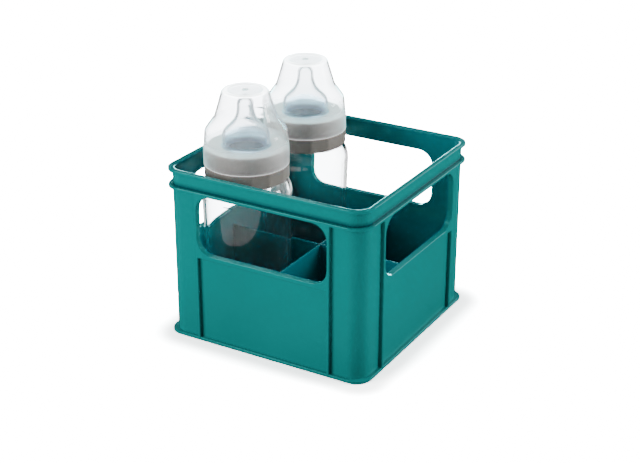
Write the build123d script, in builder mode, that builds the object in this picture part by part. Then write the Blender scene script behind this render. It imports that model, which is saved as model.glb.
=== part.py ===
from build123d import *
import os
from math import atan2, hypot, tan

# An open bottle crate, moulded in one piece, with two capped glass feeding bottles.
# Sizes are in millimetres. +Z is up, -Y is the front, +X is the right-hand side,
# and the origin is the middle of the crate's foot, on the surface it stands on.

os.makedirs("parts", exist_ok=True)

# Fits
seat_gap = 0.1           # between a piece and the flat face it stands on
running_gap = 0.3        # between a piece and one that turns or lifts beside it

# Glass bottle body: heights are above the bottle's own foot
glass_radius = 33.6      # at the shoulder, its widest place
glass_waist_radius = 32.7
glass_foot_radius = 33.0
glass_wall = 2.6
glass_base = 5.0
foot_rounding = 6.0
punt_radius = 24.0       # shallow dome under the base
punt_depth = 1.5
waist_height = 68.0
shoulder_height = 104.5
shoulder_rise = 13.4     # from there to the ledge, just under the screw ring
ledge_radius = 29.0
neck_radius = 25.4
neck_length = 21.1       # from the ledge to the glass rim
glass_rim_bevel = 0.7

# Screw ring
thread_room = 1.4        # between the neck and the ring's bore
ring_wall = 2.5
ring_top_thickness = 1.6
grip_step = 2.3          # how far the grip's corners stand out of the ring's collar
grip_height = 11.2
grip_sides = 14
grip_corner_rounding = 6.0
ring_edge_bevel = 0.5
collar_edge_bevel = 0.6

# Teat
teat_wall = 2.0
teat_flange_thickness = 1.7
teat_radius = 17.4       # of the dome, where it passes the ring
teat_lip_height = 1.6    # lip that holds the teat in the ring
teat_lip_width = 0.9
dome_height = 12.0       # above the flange
dome_rounding = 8.0
flare_height = 11.5      # from the dome in to the nipple
flare_rounding = 16.0
nipple_radius = 6.2
nipple_length = 15.0     # from the flare to the tip
milk_hole_radius = 0.5

# Travel cap
cap_wall = 1.2
cap_room = 1.0           # between the ring's collar and the cap's skirt
cap_head_room = 3.7      # above the nipple
cap_top_radius = 16.9
cap_top_recess = 0.6
cap_top_lip = 4.4        # width of the rounded edge around the recess
cap_recess_slope = 1.2   # width of the recess's sloped side
cap_cone_inset = 8.5     # of the cone's foot from the skirt
cap_cone_height = 20.4   # from the top down to the foot of the cone
cap_shoulder_inset = 1.3
cap_flare_height = 10.0
cap_top_rounding = 2.4
cap_cone_rounding = 4.0
cap_shoulder_rounding = 5.0
cap_skirt_rounding = 12.0
cap_skirt_height = 10.5  # straight part of the skirt
cap_snap_height = 2.0    # bead that grips the ring's collar
cap_snap_lift = 3.0      # bead's lower edge above the cap's mouth

# Crate
cell_slack = 6.05        # room on each side of a bottle in its cell
crate_wall = 2.0
crate_height = 133.5
wall_corner = 12.4       # outer radius of the wall's corners
divider_top_width = 1.8
divider_draft_width = 0.5  # how much wider a divider is at its foot
divider_height = 55.0    # above the floor
divider_rounding = 0.7
floor_rounding = 3.0     # between the floor and the walls
floor_thickness = 2.0
foot_recess = 2.0        # hollow under the floor
rim_thickness = 2.4
flange_width = 2.75      # how far the flanges, the ribs and the window frames stand out
flange_corner = 14.0
rim_inner_rounding = 1.5
edge_bevel = 0.4         # of the outer edges of flanges, ribs and window frames
flange_thickness = 2.2
flange_drop = 13.1       # from the top of the crate to the top of the lower flange
foot_flange_thickness = 2.5
foot_flange_corner = 12.0
rib_width = 2.3
window_width = 109.0
window_height = 46.4
window_corner = 12.3
sill_thickness = 3.5

# Where the two bottles stand in their cells: shares of the slack, right and back
front_bottle_shift = (0.37, -0.15)
rear_bottle_shift = (0.27, 0.60)

# Worked out from the sizes above
cell_half = glass_radius + cell_slack
cell_centre = divider_top_width / 2 + cell_half
inner_half = cell_centre + cell_half
wall_half = inner_half + crate_wall
floor_top = foot_recess + floor_thickness
divider_top = floor_top + divider_height
flange_top = crate_height - flange_drop
window_top = flange_top - flange_thickness
window_bottom = window_top - window_height

bottle_foot = floor_top + seat_gap
glass_ledge = bottle_foot + shoulder_height + shoulder_rise
glass_rim = glass_ledge + neck_length
ring_bottom = glass_ledge + running_gap
ring_bore = neck_radius + thread_room
collar_radius = ring_bore + ring_wall
teat_bottom = glass_rim + seat_gap
teat_flange_radius = ring_bore - running_gap
ring_ceiling = teat_bottom + teat_flange_thickness + seat_gap
ring_top = ring_ceiling + ring_top_thickness
dome_top = teat_bottom + teat_flange_thickness + dome_height
nipple_foot = dome_top + flare_height
teat_tip = nipple_foot + nipple_length
flare_slope = atan2(teat_radius - nipple_radius, flare_height)
cap_mouth = ring_bottom + grip_height + seat_gap
cap_radius = collar_radius + cap_room + cap_wall
cap_top = teat_tip + cap_head_room + cap_wall + cap_top_recess


def side_plane(turn, distance):
    """Plane of one side of the crate, seen from outside: X across, Y up."""
    outward = Vector(1, 0, 0).rotate(Axis.Z, 90 * turn)
    across = Vector(0, 1, 0).rotate(Axis.Z, 90 * turn)
    return Plane(origin=outward * distance, x_dir=across, z_dir=outward)


def axis_plane(place):
    """Upright plane through a bottle's axis: X is the radius, Y the height."""
    return Plane(origin=(*place, 0), x_dir=(1, 0, 0), z_dir=(0, -1, 0))


def bottle_axis(place):
    """The axis a bottle's round pieces turn about."""
    return Axis((*place, 0), (0, 0, 1))


# ---------------------------------------------------------------------------
# Crate: walls, floor, dividers, flanges and ribs are one moulding
# ---------------------------------------------------------------------------
outline_size = 2 * (wall_half + flange_width)


def on_outline(edge, corner):
    """Whether an edge lies on the crate's outer outline, which has rounded corners."""
    middle = edge @ 0.5
    core = outline_size / 2 - corner
    reach = hypot(max(abs(middle.X) - core, 0), max(abs(middle.Y) - core, 0))
    return abs(reach - corner) < 0.01


with BuildPart() as crate:
    with BuildSketch():
        RectangleRounded(2 * wall_half, 2 * wall_half, wall_corner)
    extrude(amount=crate_height)

    # The rim and the flange below it have the same outline, the foot flange a tighter corner
    for bottom, thickness, corner in (
        (crate_height - rim_thickness, rim_thickness, flange_corner),
        (window_top, flange_thickness, flange_corner),
        (0, foot_flange_thickness, foot_flange_corner),
    ):
        with BuildSketch(Plane.XY.offset(bottom)):
            RectangleRounded(outline_size, outline_size, corner)
        extrude(amount=thickness)

    # Two ribs on each side, from the foot to the lower flange, and the plate
    # between them that frames the window
    rib_middle = (window_width + rib_width) / 2
    frame_bottom = window_bottom - sill_thickness
    for turn in range(4):
        with BuildSketch(side_plane(turn, wall_half)):
            for across in (-rib_middle, rib_middle):
                with Locations((across, window_top / 2)):
                    Rectangle(rib_width, window_top)
            with Locations((0, (frame_bottom + window_top) / 2)):
                Rectangle(window_width + 2 * rib_width, window_top - frame_bottom)
        extrude(amount=flange_width)

    # Inside of the walls, and the shallow hollow under the floor
    for bottom, depth in ((floor_top, crate_height - floor_top), (0, foot_recess)):
        with BuildSketch(Plane.XY.offset(bottom)):
            RectangleRounded(2 * inner_half, 2 * inner_half, wall_corner - crate_wall)
        extrude(amount=depth, mode=Mode.SUBTRACT)
    floor_edges = crate.edges().filter_by_position(Axis.Z, floor_top, floor_top)
    fillet(floor_edges, floor_rounding)

    # Windows, which are the hand grips too
    for turn in range(4):
        with BuildSketch(side_plane(turn, inner_half - crate_wall)):
            with Locations((0, (window_bottom + window_top) / 2)):
                RectangleRounded(window_width, window_height, window_corner)
        extrude(amount=3 * crate_wall + flange_width, mode=Mode.SUBTRACT)

    # Every outer edge of the flanges, ribs and frames is lightly bevelled
    outer_edges = crate.edges().filter_by(
        lambda edge: on_outline(edge, flange_corner) or on_outline(edge, foot_flange_corner)
    )
    chamfer(outer_edges, edge_bevel)

    # Crossed dividers, a little wider at the foot than at the top
    for turn in range(2):
        with BuildSketch(side_plane(turn, -inner_half)):
            with BuildLine():
                Polyline(
                    (-divider_top_width / 2 - divider_draft_width / 2, floor_top),
                    (divider_top_width / 2 + divider_draft_width / 2, floor_top),
                    (divider_top_width / 2, divider_top),
                    (-divider_top_width / 2, divider_top),
                    close=True,
                )
            make_face()
            top_corners = vertices().group_by(Axis.Z)[-1]
            fillet(top_corners, divider_rounding)
        extrude(amount=2 * inner_half)

    top_face = crate.faces().sort_by(Axis.Z)[-1]
    fillet(top_face.inner_wires().edges(), rim_inner_rounding)

crate.part.label = "crate"
export_step(crate.part, "parts/crate.step")


def make_glass(place):
    """Bottle body: slightly waisted, with a rounded shoulder and a straight neck."""
    with BuildPart() as glass:
        for inset, floor, top in (
            (0, bottle_foot, glass_rim),
            (glass_wall, bottle_foot + glass_base, glass_rim),
        ):
            rounding = foot_rounding - inset / 2
            foot = glass_foot_radius - inset
            shoulder = (glass_radius - inset, bottle_foot + shoulder_height)
            with BuildSketch(axis_plane(place)):
                with BuildLine():
                    base_line = Line((0, floor), (foot - rounding, floor))
                    corner = JernArc(base_line @ 1, (1, 0), rounding, 90)
                    side = ThreePointArc(
                        corner @ 1,
                        (glass_waist_radius - inset, bottle_foot + waist_height),
                        shoulder,
                    )
                    if inset:
                        neck_foot = (neck_radius - inset, glass_ledge)
                        curve = TangentArc(side @ 1, neck_foot, tangent=(0, 1))
                        Polyline(curve @ 1, (neck_radius - inset, top), (0, top), (0, floor))
                    else:
                        curve = TangentArc(side @ 1, (ledge_radius, glass_ledge), tangent=(0, 1))
                        Polyline(
                            curve @ 1,
                            (neck_radius, glass_ledge),
                            (neck_radius, top),
                            (0, top),
                            (0, floor),
                        )
                make_face()
            revolve(axis=bottle_axis(place), mode=Mode.SUBTRACT if inset else Mode.ADD)
        with BuildSketch(axis_plane(place)):
            with BuildLine():
                Line((0, bottle_foot), (punt_radius, bottle_foot))
                TangentArc((0, bottle_foot + punt_depth), (punt_radius, bottle_foot), tangent=(1, 0))
                Line((0, bottle_foot), (0, bottle_foot + punt_depth))
            make_face()
        revolve(axis=bottle_axis(place), mode=Mode.SUBTRACT)
        rim_edges = glass.edges().filter_by(GeomType.CIRCLE).group_by(Axis.Z)[-1]
        chamfer(rim_edges, glass_rim_bevel)
    return glass


def make_ring(place):
    """Screw ring: a grip with flat sides below, a plain collar above, a hole for the teat."""
    with BuildPart() as ring:
        with BuildSketch(Plane((*place, ring_bottom))):
            RegularPolygon(collar_radius + grip_step, grip_sides)
            fillet(vertices(), grip_corner_rounding)
        extrude(amount=grip_height)
        chamfer(ring.edges().group_by(Axis.Z)[-1], ring_edge_bevel)
        chamfer(ring.edges().group_by(Axis.Z)[0], ring_edge_bevel)
        with BuildSketch(Plane((*place, ring_bottom))):
            Circle(collar_radius)
        extrude(amount=ring_top - ring_bottom)
        chamfer(ring.edges().group_by(Axis.Z)[-1], collar_edge_bevel)
        with BuildSketch(Plane((*place, ring_bottom))):
            Circle(ring_bore)
        extrude(amount=ring_ceiling - ring_bottom, mode=Mode.SUBTRACT)
        with BuildSketch(Plane((*place, ring_bottom))):
            Circle(teat_radius + running_gap)
        extrude(amount=ring_top - ring_bottom, mode=Mode.SUBTRACT)
    return ring


def make_teat(place):
    """Teat: a flange under the ring, a dome, and a nipple, all one soft wall."""
    lip_radius = teat_radius + teat_lip_width
    lip_bottom = ring_top + seat_gap
    flange_top_height = teat_bottom + teat_flange_thickness
    with BuildPart() as teat:
        for inset in (0, teat_wall):
            drop = inset * tan(flare_slope / 2)
            with BuildSketch(axis_plane(place)):
                with BuildLine():
                    side = FilletPolyline(
                        (teat_radius - inset, teat_bottom),
                        (teat_radius - inset, dome_top - drop),
                        (nipple_radius - inset, nipple_foot - drop),
                        (nipple_radius - inset, teat_tip - nipple_radius),
                        radius=(dome_rounding - inset, flare_rounding + inset),
                    )
                    tip = RadiusArc(side @ 1, (0, teat_tip - inset), -(nipple_radius - inset))
                    Polyline(tip @ 1, (0, teat_bottom), side @ 0)
                make_face()
            revolve(axis=bottle_axis(place), mode=Mode.SUBTRACT if inset else Mode.ADD)
        with BuildSketch(axis_plane(place)):
            with BuildLine():
                Polyline(
                    (teat_radius - teat_wall, teat_bottom),
                    (teat_flange_radius, teat_bottom),
                    (teat_flange_radius, flange_top_height),
                    (teat_radius - teat_wall, flange_top_height),
                    close=True,
                )
            make_face()
            with BuildLine():
                Polyline(
                    (teat_radius - teat_wall / 2, lip_bottom),
                    (lip_radius, lip_bottom),
                    (teat_radius - teat_wall / 2, lip_bottom + teat_lip_height),
                    close=True,
                )
            make_face()
        revolve(axis=bottle_axis(place))
        with BuildSketch(Plane((*place, teat_tip - nipple_radius))):
            Circle(milk_hole_radius)
        extrude(amount=nipple_radius, mode=Mode.SUBTRACT)
    return teat


def make_cap(place):
    """Travel cap: a shallow recessed top, a cone, a flare and a straight skirt."""
    with BuildPart() as cap:
        with BuildSketch(axis_plane(place)):
            with BuildLine():
                outline = FilletPolyline(
                    (cap_top_radius - cap_top_lip, cap_top),
                    (cap_top_radius, cap_top),
                    (cap_radius - cap_cone_inset, cap_top - cap_cone_height),
                    (cap_radius - cap_shoulder_inset, cap_top - cap_cone_height - cap_flare_height),
                    (cap_radius, cap_mouth + cap_skirt_height),
                    (cap_radius, cap_mouth),
                    radius=(
                        cap_top_rounding,
                        cap_cone_rounding,
                        cap_shoulder_rounding,
                        cap_skirt_rounding,
                    ),
                )
                Polyline(
                    outline @ 0,
                    (cap_top_radius - cap_top_lip - cap_recess_slope, cap_top - cap_top_recess),
                    (0, cap_top - cap_top_recess),
                    (0, cap_mouth),
                    outline @ 1,
                )
            make_face()
        revolve(axis=bottle_axis(place))
        offset(amount=-cap_wall, openings=cap.faces().sort_by(Axis.Z)[0])
        snap_bottom = cap_mouth + cap_snap_lift
        with BuildSketch(axis_plane(place)):
            with BuildLine():
                Polyline(
                    (cap_radius - cap_wall / 2, snap_bottom),
                    (collar_radius + running_gap, snap_bottom + cap_snap_height / 2),
                    (cap_radius - cap_wall / 2, snap_bottom + cap_snap_height),
                    close=True,
                )
            make_face()
        revolve(axis=bottle_axis(place))
    return cap


# ---------------------------------------------------------------------------
# Two bottles, in the left-hand cells
# ---------------------------------------------------------------------------
front_place = (
    -cell_centre + front_bottle_shift[0] * cell_slack,
    -cell_centre + front_bottle_shift[1] * cell_slack,
)
rear_place = (
    -cell_centre + rear_bottle_shift[0] * cell_slack,
    cell_centre + rear_bottle_shift[1] * cell_slack,
)
for side, place in (("front", front_place), ("rear", rear_place)):
    glass = make_glass(place)
    glass.part.label = f"{side}_bottle"
    export_step(glass.part, f"parts/{side}_bottle.step")

    ring = make_ring(place)
    ring.part.label = f"{side}_screw_ring"
    export_step(ring.part, f"parts/{side}_screw_ring.step")

    teat = make_teat(place)
    teat.part.label = f"{side}_teat"
    export_step(teat.part, f"parts/{side}_teat.step")

    cap = make_cap(place)
    cap.part.label = f"{side}_travel_cap"
    export_step(cap.part, f"parts/{side}_travel_cap.step")
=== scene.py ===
from math import cos, pi, radians, sin

import bmesh
import bpy
from mathutils import Matrix, Vector


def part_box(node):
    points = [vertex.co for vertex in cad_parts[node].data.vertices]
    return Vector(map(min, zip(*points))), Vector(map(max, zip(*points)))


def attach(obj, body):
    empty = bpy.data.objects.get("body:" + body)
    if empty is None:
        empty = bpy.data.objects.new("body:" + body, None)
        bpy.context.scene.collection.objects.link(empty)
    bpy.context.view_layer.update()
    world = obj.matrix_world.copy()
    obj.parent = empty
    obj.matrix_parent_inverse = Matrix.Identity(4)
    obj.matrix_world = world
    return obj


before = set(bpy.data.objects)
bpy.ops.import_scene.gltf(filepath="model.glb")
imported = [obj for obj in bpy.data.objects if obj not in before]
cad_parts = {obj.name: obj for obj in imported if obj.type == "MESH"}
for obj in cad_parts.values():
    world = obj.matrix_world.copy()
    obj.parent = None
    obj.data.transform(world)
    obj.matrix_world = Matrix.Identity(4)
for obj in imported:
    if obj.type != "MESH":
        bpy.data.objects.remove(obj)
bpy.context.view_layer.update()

MM = 0.001
SIDES = ("front", "rear")
BLACK = (0.0, 0.0, 0.0)
WHITE = (1.0, 1.0, 1.0)
# Sizes of the CAD part that the finishes and the gate marks follow
WALL_HALF = 82.2 * MM       # from the middle of the crate to the outside of a wall
WALL_CORNER = 12.4 * MM
FOOT_CORNER = 12 * MM
FLANGE_TOP = 120.4 * MM     # of the lower flange
DIVIDER_TOP = 59 * MM
RING_HOLE = 17.7 * MM       # radius of the hole that a teat stands in
RECESS_RADIUS = 12.5 * MM   # of the sunk middle of a cap's top
CAP_RECESS = 0.6 * MM       # how deep it lies
GATE_DIMPLE = 0.75 * MM     # radius of the dimple in a gate mark
# The middle part of a noise, in which most of its values lie
DRIFT_SPAN = (0.35, 0.65)


# ---------------------------------------------------------------------------
# Node trees
# ---------------------------------------------------------------------------
class Wiring:
    """Short calls that add nodes to one tree; a source is an output socket or a plain value."""

    def __init__(self, tree):
        self.nodes = tree.nodes
        self.links = tree.links

    def put(self, source, socket):
        """Links a source to an input socket, or sets the socket to it."""
        if isinstance(source, bpy.types.NodeSocket):
            self.links.new(source, socket)
        else:
            socket.default_value = source

    def node(self, kind, **sources):
        """A new node with its inputs filled by name, an underscore for each space."""
        node = self.nodes.new(kind)
        for label, source in sources.items():
            self.put(source, node.inputs[label.replace("_", " ")])
        return node

    def math(self, operation, first, second):
        node = self.nodes.new("ShaderNodeMath")
        node.operation = operation
        self.put(first, node.inputs[0])
        self.put(second, node.inputs[1])
        return node.outputs["Value"]

    def vector_math(self, operation, first, second=None):
        node = self.nodes.new("ShaderNodeVectorMath")
        node.operation = operation
        self.put(first, node.inputs[0])
        if second is not None:
            self.put(second, node.inputs[1])
        return node.outputs["Value" if operation == "LENGTH" else "Vector"]

    def remap(self, source, low, high, start=0.0, end=1.0, interpolation="LINEAR"):
        """A value taken from start..end to low..high, and held at the ends."""
        node = self.node(
            "ShaderNodeMapRange", Value=source, From_Min=start, From_Max=end, To_Min=low, To_Max=high
        )
        node.interpolation_type = interpolation
        return node.outputs["Result"]

    def mix(self, mask, first, second):
        """A value that goes from first to second as the mask goes from 0 to 1."""
        return self.node("ShaderNodeMix", Factor=mask, A=first, B=second).outputs["Result"]

    def blend(self, mask, first, second):
        """A colour that goes from first to second as the mask goes from 0 to 1."""
        node = self.nodes.new("ShaderNodeMix")
        node.data_type = "RGBA"
        self.put(mask, node.inputs["Factor"])
        for label, colour in (("A", first), ("B", second)):
            socket = next(s for s in node.inputs if s.name == label and s.type == "RGBA")
            self.put((*colour, 1.0) if isinstance(colour, tuple) else colour, socket)
        return next(s for s in node.outputs if s.type == "RGBA")

    def place(self):
        """The place of a point in the object's own frame."""
        return self.node("ShaderNodeTexCoord").outputs["Object"]

    def height(self):
        """The height of a point of the object, in metres."""
        return self.node("ShaderNodeSeparateXYZ", Vector=self.place()).outputs["Z"]

    def radius(self, node):
        """The distance of a point from the upright axis of a CAD node, in metres."""
        sideways = self.vector_math("SUBTRACT", self.place(), (*axis_of(node), 0.0))
        level = self.vector_math("MULTIPLY", sideways, (1.0, 1.0, 0.0))
        return self.vector_math("LENGTH", level)

    def past_outline(self, half, corner, centre=(0.0, 0.0)):
        """How far a point is outside an upright rounded square, in metres; under 0 is within it."""
        core = half - corner
        out_of_reach = 1.0
        offset = self.vector_math("SUBTRACT", self.place(), (*centre, 0.0))
        offset = self.vector_math("ABSOLUTE", offset)
        offset = self.vector_math("SUBTRACT", offset, (core, core, out_of_reach))
        offset = self.vector_math("MAXIMUM", offset, (0.0, 0.0, 0.0))
        return self.math("SUBTRACT", self.vector_math("LENGTH", offset), corner)


def axis_of(node):
    """Where the upright axis of a CAD node stands."""
    low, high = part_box(node)
    return (low.x + high.x) / 2, (low.y + high.y) / 2


# ---------------------------------------------------------------------------
# Shared surface effects, as node groups
# ---------------------------------------------------------------------------
def effect_group(name, inputs, outputs):
    """An empty shader group with named float sockets; returns it with its two end nodes."""
    group = bpy.data.node_groups.new(name, "ShaderNodeTree")
    for label, default in inputs:
        socket = group.interface.new_socket(label, in_out="INPUT", socket_type="NodeSocketFloat")
        socket.default_value = default
    for label in outputs:
        group.interface.new_socket(label, in_out="OUTPUT", socket_type="NodeSocketFloat")
    return group, group.nodes.new("NodeGroupInput"), group.nodes.new("NodeGroupOutput")


def moulded_skin_group():
    """Fine grain of a moulded skin, and the slow drift of its colour and gloss."""
    group, start, end = effect_group(
        "moulded_skin", (("Grain Scale", 900.0), ("Drift Scale", 14.0)), ("Grain", "Drift")
    )
    wiring = Wiring(group)
    place = wiring.place()
    for label, look in (("Grain", {"Detail": 3.0}), ("Drift", {"Detail": 2.0, "Roughness": 0.45})):
        scale = start.outputs[f"{label} Scale"]
        noise = wiring.node("ShaderNodeTexNoise", Vector=place, Scale=scale, **look)
        wiring.put(noise.outputs["Fac"], end.inputs[label])
    return group


def handling_marks_group():
    """Faint rubs and wiped streaks left by handling: 0 is clean, 1 is the middle of a streak."""
    group, start, end = effect_group("handling_marks", (("Scale", 60.0), ("Amount", 0.5)), ("Marks",))
    wiring = Wiring(group)
    stretched = wiring.node(
        "ShaderNodeMapping", Vector=wiring.place(), Rotation=(0.3, 0.5, 0.2), Scale=(1.0, 1.0, 0.22)
    )
    streaks = wiring.node(
        "ShaderNodeTexNoise",
        Vector=stretched.outputs["Vector"], Scale=start.outputs["Scale"], Detail=5.0, Distortion=0.6,
    )
    narrow = wiring.remap(streaks.outputs["Fac"], 0.0, 1.0, 0.56, 0.74)
    wiring.put(wiring.math("MULTIPLY", narrow, start.outputs["Amount"]), end.inputs["Marks"])
    return group


MOULDED_SKIN = moulded_skin_group()
HANDLING_MARKS = handling_marks_group()


# ---------------------------------------------------------------------------
# Materials
# ---------------------------------------------------------------------------
class Finish(Wiring):
    """A material with one Principled shader, and short calls for what feeds it."""

    def __init__(self, name, **constants):
        self.material = bpy.data.materials.new(name)
        self.material.use_nodes = True
        super().__init__(self.material.node_tree)
        self.shader = self.nodes["Principled BSDF"]
        for label, value in constants.items():
            self.feed(label.replace("_", " "), value)

    def feed(self, socket, source):
        self.put(source, self.shader.inputs[socket])

    def effect(self, group, **values):
        node = self.nodes.new("ShaderNodeGroup")
        node.node_tree = group
        for label, value in values.items():
            node.inputs[label.replace("_", " ")].default_value = value
        return node

    def drifting(self, skin, low, high):
        """A value that wanders between low and high with the skin's slow drift."""
        return self.remap(skin.outputs["Drift"], low, high, *DRIFT_SPAN)

    def two_tone(self, skin, first, second):
        """A colour that wanders between two close tones with the skin's slow drift."""
        return self.blend(self.drifting(skin, 0.0, 1.0), first, second)

    def all_of(self, mask, *others):
        """The mask of what lies in every one of these masks."""
        for other in others:
            mask = self.math("MULTIPLY", mask, other)
        return mask

    def bump(self, source, strength, distance):
        node = self.node("ShaderNodeBump", Strength=strength, Distance=distance, Height=source)
        self.feed("Normal", node.outputs["Normal"])

    def pass_light(self, share=0.85):
        """Lets this share of the lamps' light through, so that what stands behind is lit."""
        shadow_ray = self.node("ShaderNodeLightPath").outputs["Is Shadow Ray"]
        clear = self.node("ShaderNodeBsdfTransparent")
        shader = self.node("ShaderNodeMixShader", Fac=self.math("MULTIPLY", shadow_ray, share))
        self.put(self.shader.outputs["BSDF"], shader.inputs[1])
        self.put(clear.outputs["BSDF"], shader.inputs[2])
        self.put(shader.outputs["Shader"], self.nodes["Material Output"].inputs["Surface"])


def crate_plastic():
    """Glossy teal polypropylene with a faint moulded skin, with painted shade: a little bluer and
    darker within the walls, and darker just above the lower flange.
    """
    finish = Finish(
        "teal_moulded_plastic",
        IOR=1.49, Specular_IOR_Level=0.35, Specular_Tint=(0.3, 1.0, 0.97, 1.0),
    )
    skin = finish.effect(MOULDED_SKIN, Grain_Scale=1100.0, Drift_Scale=11.0)
    marks = finish.effect(HANDLING_MARKS, Scale=70.0, Amount=0.06)
    height = finish.height()
    past_wall = finish.past_outline(WALL_HALF, WALL_CORNER)
    teal = finish.two_tone(skin, (0.0003, 0.134, 0.131), (0.0004, 0.146, 0.143))
    shaded_teal = (0.0002, 0.042, 0.050)
    painted_cell_shade = (0.0002, 0.095, 0.122)
    painted_upper_shade = (0.0003, 0.120, 0.140)
    # Painted shade in the corner between the wall and the lower flange: darker on the outside of the
    # wall, just above the flange
    above_flange = finish.remap(height, 0.0, 1.0, FLANGE_TOP - 0.1 * MM, FLANGE_TOP + 0.1 * MM)
    near_flange = finish.remap(height, 1.0, 0.0, FLANGE_TOP + 0.4 * MM, FLANGE_TOP + 4 * MM)
    up_to_wall = finish.remap(past_wall, 1.0, 0.0, 0.3 * MM, 1.2 * MM)
    from_wall = finish.remap(past_wall, 0.0, 1.0, -0.6 * MM, -0.2 * MM)
    shade = finish.all_of(above_flange, near_flange, up_to_wall, from_wall)
    outside = finish.blend(shade, teal, shaded_teal)
    # Painted shade within the walls: a darker, bluer teal, deepest down in the cells
    above_cells = finish.remap(height, 0.0, 1.0, DIVIDER_TOP - 3 * MM, DIVIDER_TOP + 7 * MM)
    painted_inner_shade = finish.blend(above_cells, painted_cell_shade, painted_upper_shade)
    within = finish.remap(past_wall, 1.0, 0.0, -1.6 * MM, -0.6 * MM)
    finish.feed("Base Color", finish.blend(within, outside, painted_inner_shade))
    gloss = finish.drifting(skin, 0.13, 0.17)
    finish.feed("Roughness", finish.math("ADD", gloss, marks.outputs["Marks"]))
    finish.bump(skin.outputs["Grain"], 0.05, 0.05 * MM)
    return finish.material


def bottle_glass():
    """Clear pressed glass, very slightly wavy, with a faint blue glow painted in by its emission as a
    trace of haze.
    """
    finish = Finish(
        "clear_bottle_glass", IOR=1.48, Transmission_Weight=0.998,
        Emission_Color=(0.35, 0.8, 1.0, 1.0), Emission_Strength=0.0018,
    )
    skin = finish.effect(MOULDED_SKIN, Grain_Scale=120.0, Drift_Scale=30.0)
    marks = finish.effect(HANDLING_MARKS, Scale=45.0, Amount=0.015)
    finish.feed("Base Color", finish.two_tone(skin, (0.975, 0.99, 0.985), (0.985, 0.995, 0.99)))
    finish.feed("Roughness", finish.remap(marks.outputs["Marks"], 0.0, 0.02, 0.0, 0.015))
    finish.bump(skin.outputs["Grain"], 0.04, 0.1 * MM)
    finish.pass_light()
    return finish.material


def ring_plastic(side):
    """Semi-gloss taupe plastic, paler on the collar's top face, where the light tone is a painted
    reflection of the bright surroundings.
    """
    ring = f"{side}_screw_ring"
    finish = Finish(f"{side}_taupe_ring_plastic", IOR=1.5)
    skin = finish.effect(MOULDED_SKIN, Grain_Scale=1500.0, Drift_Scale=40.0)
    marks = finish.effect(HANDLING_MARKS, Scale=160.0, Amount=0.08)
    taupe = finish.two_tone(skin, (0.150, 0.138, 0.126), (0.166, 0.153, 0.140))
    # Painted reflection: the collar's top face lightened, as if it mirrored the white studio
    painted_reflection = (0.90, 0.855, 0.83)
    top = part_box(ring)[1].z
    at_top = finish.remap(finish.height(), 0.0, 1.0, top - 1.2 * MM, top - 0.2 * MM)
    past_hole = finish.remap(finish.radius(ring), 0.0, 1.0, RING_HOLE + 0.4 * MM, RING_HOLE + 0.9 * MM)
    finish.feed("Base Color", finish.blend(finish.all_of(at_top, past_hole), taupe, painted_reflection))
    gloss = finish.drifting(skin, 0.30, 0.36)
    finish.feed("Roughness", finish.math("ADD", gloss, marks.outputs["Marks"]))
    finish.bump(skin.outputs["Grain"], 0.06, 0.04 * MM)
    return finish.material


def teat_silicone(side):
    """Clear silicone, matt where the ring holds it; low in the dome a blue-grey painted shade of the
    shaded neck seen through it, and the emission paints a faint blue glow.
    """
    # The emission paints a faint blue glow over the whole teat
    finish = Finish(
        f"{side}_teat_silicone", IOR=1.30, Transmission_Weight=0.95, Specular_IOR_Level=0.25,
        Emission_Color=(0.0, 0.35, 1.0, 1.0), Emission_Strength=0.03,
    )
    skin = finish.effect(MOULDED_SKIN, Grain_Scale=800.0, Drift_Scale=60.0)
    # Painted shade: blue-grey low in the dome, clear higher up
    painted_shade_blue = (0.48, 0.68, 0.81)
    clear = (0.975, 0.98, 0.985)
    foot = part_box(f"{side}_teat")[0].z
    height = finish.height()
    above_painted_shade = finish.remap(height, 0.0, 1.0, foot + 9 * MM, foot + 14 * MM)
    finish.feed("Base Color", finish.blend(above_painted_shade, painted_shade_blue, clear))
    satin = finish.drifting(skin, 0.10, 0.18)
    matt_foot = finish.remap(height, 0.25, 0.0, foot + 5.0 * MM, foot + 5.8 * MM)
    finish.feed("Roughness", finish.math("ADD", satin, matt_foot))
    finish.bump(skin.outputs["Grain"], 0.05, 0.05 * MM)
    finish.pass_light()
    return finish.material


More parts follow.
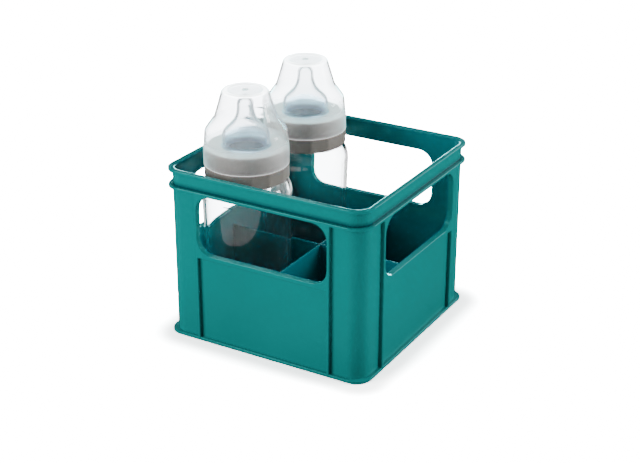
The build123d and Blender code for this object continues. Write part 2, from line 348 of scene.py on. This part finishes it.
def cap_plastic(side):
    """Milky see-through polypropylene, frosted on top and on the skirt, with painted highlights: its
    mouth's edge and the lip of its top glow by emission.
    """
    cap = f"{side}_travel_cap"
    finish = Finish(f"{side}_cap_plastic", IOR=1.30, Transmission_Weight=0.92, Emission_Strength=2.0)
    skin = finish.effect(MOULDED_SKIN, Grain_Scale=1000.0, Drift_Scale=45.0)
    marks = finish.effect(HANDLING_MARKS, Scale=120.0, Amount=0.03)
    low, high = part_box(cap)
    height = finish.height()
    milk = finish.two_tone(skin, (0.955, 0.96, 0.965), (0.975, 0.98, 0.985))
    dull_milk = (0.80, 0.80, 0.81)
    above_mouth = finish.remap(height, 0.0, 1.0, low.z, low.z + 11 * MM)
    finish.feed("Base Color", finish.blend(above_mouth, dull_milk, milk))
    frosted_top = finish.remap(height, 0.08, 0.22, high.z - 3 * MM, high.z - 1 * MM)
    frosted_skirt = finish.remap(height, 0.42, 0.0, low.z + 13 * MM, low.z + 20 * MM)
    frosted = finish.math("ADD", frosted_top, frosted_skirt)
    finish.feed("Roughness", finish.math("ADD", frosted, marks.outputs["Marks"]))
    radius = finish.radius(cap)
    skirt_radius = (high.x - low.x) / 2
    # Painted highlights: emission makes the mouth's edge and the top's lip glow
    at_mouth = finish.remap(height, 0.5, 0.0, low.z + 0.45 * MM, low.z + 0.55 * MM)
    on_skirt = finish.remap(radius, 0.0, 1.0, skirt_radius - 0.4 * MM, skirt_radius - 0.25 * MM)
    at_top = finish.remap(height, 0.0, 0.8, high.z - 1.8 * MM, high.z - 1.2 * MM)
    past_recess = finish.remap(radius, 0.0, 1.0, RECESS_RADIUS + 0.1 * MM, RECESS_RADIUS + 0.7 * MM)
    painted_mouth_glow = finish.all_of(at_mouth, on_skirt)
    painted_top_glow = finish.all_of(at_top, past_recess)
    finish.feed("Emission Color", finish.blend(finish.math("ADD", painted_mouth_glow, painted_top_glow), BLACK, WHITE))
    finish.bump(skin.outputs["Grain"], 0.05, 0.05 * MM)
    finish.pass_light()
    return finish.material


def gate_plastic(side):
    """The cap's plastic left cloudy where the mould's gate was cut, with painted shade darkening the
    dimple.
    """
    finish = Finish(f"{side}_gate_plastic", IOR=1.30, Transmission_Weight=0.6)
    marks = finish.effect(HANDLING_MARKS, Scale=300.0, Amount=0.1)
    cloudy = (0.98, 0.98, 0.96)
    # Painted shade in the dimple
    painted_dimple_shade = (0.30, 0.31, 0.30)
    radius = finish.radius(f"{side}_travel_cap")
    dimple = finish.remap(radius, 1.0, 0.0, GATE_DIMPLE - 0.2 * MM, GATE_DIMPLE + 0.05 * MM)
    finish.feed("Base Color", finish.blend(dimple, cloudy, painted_dimple_shade))
    finish.feed("Roughness", finish.remap(marks.outputs["Marks"], 0.45, 0.65, 0.0, 0.1))
    finish.pass_light()
    return finish.material


def dress(node, material):
    """Gives a CAD node its finish."""
    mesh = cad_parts[node].data
    mesh.materials.clear()
    mesh.materials.append(material)


dress("crate", crate_plastic())
glass = bottle_glass()
for side in SIDES:
    dress(f"{side}_bottle", glass)
    dress(f"{side}_screw_ring", ring_plastic(side))
    dress(f"{side}_teat", teat_silicone(side))
    dress(f"{side}_travel_cap", cap_plastic(side))


# ---------------------------------------------------------------------------
# Pieces that the CAD part leaves out
# ---------------------------------------------------------------------------
def turned(name, profile, centre, material):
    """A closed piece turned about an upright axis; the profile runs from axis to axis, upwards."""
    mesh = bpy.data.meshes.new(name)
    shape = bmesh.new()
    points = [shape.verts.new((centre[0] + radius, centre[1], height)) for radius, height in profile]
    edges = [shape.edges.new(pair) for pair in zip(points, points[1:])]
    bmesh.ops.spin(
        shape, geom=points + edges, cent=(*centre, 0.0), axis=(0.0, 0.0, 1.0),
        angle=2 * pi, steps=48, use_merge=True,
    )
    bmesh.ops.remove_doubles(shape, verts=shape.verts, dist=1e-7)
    bmesh.ops.recalc_face_normals(shape, faces=shape.faces)
    for face in shape.faces:
        face.smooth = True
    shape.to_mesh(mesh)
    shape.free()
    mesh.materials.append(material)
    piece = bpy.data.objects.new(name, mesh)
    bpy.context.scene.collection.objects.link(piece)
    return piece


def gate_mark(side, material):
    """The low round mark that the mould's gate leaves in the middle of a cap's top."""
    cap = f"{side}_travel_cap"
    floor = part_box(cap)[1].z - CAP_RECESS
    sunk = 0.1 * MM
    crown = floor + 0.42 * MM
    edge = 2.4 * MM
    round_off = 0.3 * MM
    dimple_depth = GATE_DIMPLE / 2
    quarter_turn = [radians(angle) for angle in (0.0, 22.5, 45.0, 67.5, 90.0)]
    profile = [(0.0, floor - sunk), (edge, floor - sunk)]
    for turn in quarter_turn:
        profile.append((edge - round_off * (1 - cos(turn)), crown - round_off * (1 - sin(turn))))
    for turn in quarter_turn[:-1]:
        profile.append((GATE_DIMPLE * cos(turn), crown - dimple_depth * sin(turn)))
    profile.append((0.0, crown - dimple_depth))
    piece = turned(f"{side}_cap_gate_mark", profile, axis_of(cap), material)
    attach(piece, cap)


for side in SIDES:
    gate_mark(side, gate_plastic(side))


# ---------------------------------------------------------------------------
# Floor, light and camera
# ---------------------------------------------------------------------------
FLOOR_ALBEDO = 0.8
WORLD_LIGHT = 0.42
WORLD_TINT = (0.90, 0.96, 1.06)
# How bright the white surroundings look to each kind of ray, to what they light
SEEN = 22.0
THROUGH = 22.0          # straight through glass and clear plastic
MIRRORED = 0.05         # low, which leaves the reflections to the glint lights
MIRRORED_INSIDE = 1.7   # in the inner faces of glass and clear plastic
# The contact shadow painted on the floor beside the crate, as the camera sees it
SHADE = 0.17            # brightness at the foot, to the open floor's
SHADE_SHIFT = (3.5 * MM, -3 * MM)
SHADE_WIDTH = 27 * MM
# Painted shade in the floor's colour for the rays that light things: how little light the floor gives
# back under and beside the crate
DARK_FOOT = 0.05
DARK_WIDTH = 150 * MM


def by_ray(wiring, value, lighting=None, seen=None):
    """The value for rays that light a surface, changed for seen, see-through and mirrored rays."""
    path = wiring.node("ShaderNodeLightPath")
    was_mirrored = wiring.math("MINIMUM", path.outputs["Glossy Depth"], 1.0)
    not_scattered = wiring.math("LESS_THAN", path.outputs["Diffuse Depth"], 0.5)
    through = wiring.math("MULTIPLY", path.outputs["Is Transmission Ray"], not_scattered)
    result = lighting or value
    for mask, other in (
        (path.outputs["Is Glossy Ray"], MIRRORED * value),
        (through, THROUGH * value),
        (wiring.math("MULTIPLY", through, was_mirrored), MIRRORED_INSIDE * value),
        (path.outputs["Is Camera Ray"], seen or SEEN * value),
    ):
        result = wiring.mix(mask, result, other)
    return result


def white_floor():
    """A wide white floor under the crate, bright to the eye as a lit studio sweep is, with a painted
    contact shadow beside the crate and painted shade under it for the rays that light things.
    """
    half_width = 6.0
    mesh = bpy.data.meshes.new("floor")
    shape = bmesh.new()
    bmesh.ops.create_grid(shape, x_segments=1, y_segments=1, size=half_width)
    shape.to_mesh(mesh)
    shape.free()
    floor = bpy.data.objects.new("floor", mesh)
    bpy.context.scene.collection.objects.link(floor)
    material = bpy.data.materials.new("pale_floor")
    material.use_nodes = True
    wiring = Wiring(material.node_tree)
    wiring.nodes.remove(wiring.nodes["Principled BSDF"])
    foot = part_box("crate")[1].x
    beside = wiring.past_outline(foot, FOOT_CORNER)
    # Painted shade: to the rays that light things, the floor is darker near the crate, so the crate's
    # foot gets less light back
    lighting = wiring.remap(beside, DARK_FOOT, FLOOR_ALBEDO, 0.0, DARK_WIDTH, "SMOOTHERSTEP")
    # Painted contact shadow: as the camera sees it, the floor is darker near the crate's foot
    thrown = wiring.past_outline(foot, FOOT_CORNER, SHADE_SHIFT)
    seen = wiring.remap(thrown, SHADE * SEEN, SEEN, 0.0, SHADE_WIDTH, "SMOOTHERSTEP")
    matt = wiring.node("ShaderNodeBsdfDiffuse", Color=by_ray(wiring, FLOOR_ALBEDO, lighting, seen))
    wiring.put(matt.outputs["BSDF"], wiring.nodes["Material Output"].inputs["Surface"])
    mesh.materials.append(material)


def soft_box(name, place, aim, size, power, tint=WHITE, mirrored=False):
    """A rectangular soft box at place, aimed at a point; a mirrored one shows in reflections alone."""
    data = bpy.data.lights.new(name, "AREA")
    data.shape = "RECTANGLE"
    data.size, data.size_y = size
    data.energy = power
    data.color = tint
    light = bpy.data.objects.new(name, data)
    place = Vector(place)
    turn = (Vector(aim) - place).to_track_quat("-Z", "Y")
    light.matrix_world = Matrix.Translation(place) @ turn.to_matrix().to_4x4()
    light.visible_camera = False
    light.visible_diffuse = not mirrored
    light.visible_glossy = mirrored
    light.visible_transmission = False
    bpy.context.scene.collection.objects.link(light)


def studio_light():
    """White surroundings, soft boxes in front, at the right and overhead, and glints for the edges."""
    world = bpy.data.worlds.new("studio")
    world.use_nodes = True
    bpy.context.scene.world = world
    wiring = Wiring(world.node_tree)
    background = wiring.nodes["Background"]
    path = wiring.node("ShaderNodeLightPath")
    plain = wiring.math("MAXIMUM", path.outputs["Is Camera Ray"], path.outputs["Is Transmission Ray"])
    wiring.put(wiring.blend(plain, WORLD_TINT, WHITE), background.inputs["Color"])
    wiring.put(by_ray(wiring, WORLD_LIGHT), background.inputs["Strength"])
    crate, rim, caps = (0.0, 0.0, 0.08), (0.0, 0.0, 0.13), (-0.04, 0.0, 0.17)
    warm, cool, teal = (1.0, 0.985, 0.95), (0.80, 1.0, 1.0), (0.40, 0.96, 1.0)
    soft_box("overhead", (0.0, 0.1, 1.6), crate, (1.2, 1.2), 7.0)
    soft_box("front_key", (-0.95, -1.35, 0.55), crate, (1.0, 0.6), 48.0, warm)
    soft_box("right_key", (1.45, 0.75, 0.55), crate, (1.0, 0.6), 48.0, warm)
    soft_box("back_glint", (-1.05, 1.7, 0.30), rim, (2.6, 0.40), 130.0, teal, mirrored=True)
    soft_box("side_glint", (1.30, 0.75, 0.26), caps, (0.30, 0.6), 28.0, mirrored=True)
    soft_box("top_glint", (-0.75, -0.65, 1.30), rim, (0.5, 0.5), 5.0, cool, mirrored=True)
    soft_box("right_glint", (0.65, 1.28, 0.75), rim, (0.5, 0.5), 2.5, cool, mirrored=True)


def camera():
    """A long lens, looking down on the front right-hand corner of the crate."""
    azimuth = radians(30.2)
    elevation = radians(24.16)
    roll = radians(0.09)
    distance = 1.0917
    aim_height = 0.0633
    back = Vector((sin(azimuth) * cos(elevation), -cos(azimuth) * cos(elevation), sin(elevation)))
    right = Vector((cos(azimuth), sin(azimuth), 0.0))
    up = back.cross(right)
    place = up * aim_height + back * distance
    across = right * cos(roll) + up * sin(roll)
    upward = up * cos(roll) - right * sin(roll)
    data = bpy.data.cameras.new("camera")
    data.sensor_width = 36.0
    data.lens = 78.32
    data.clip_end = 50.0
    view = bpy.data.objects.new("camera", data)
    turn = Matrix((across, upward, back)).transposed()
    view.matrix_world = Matrix.Translation(place) @ turn.to_4x4()
    bpy.context.scene.collection.objects.link(view)
    bpy.context.scene.camera = view


white_floor()
studio_light()
camera()
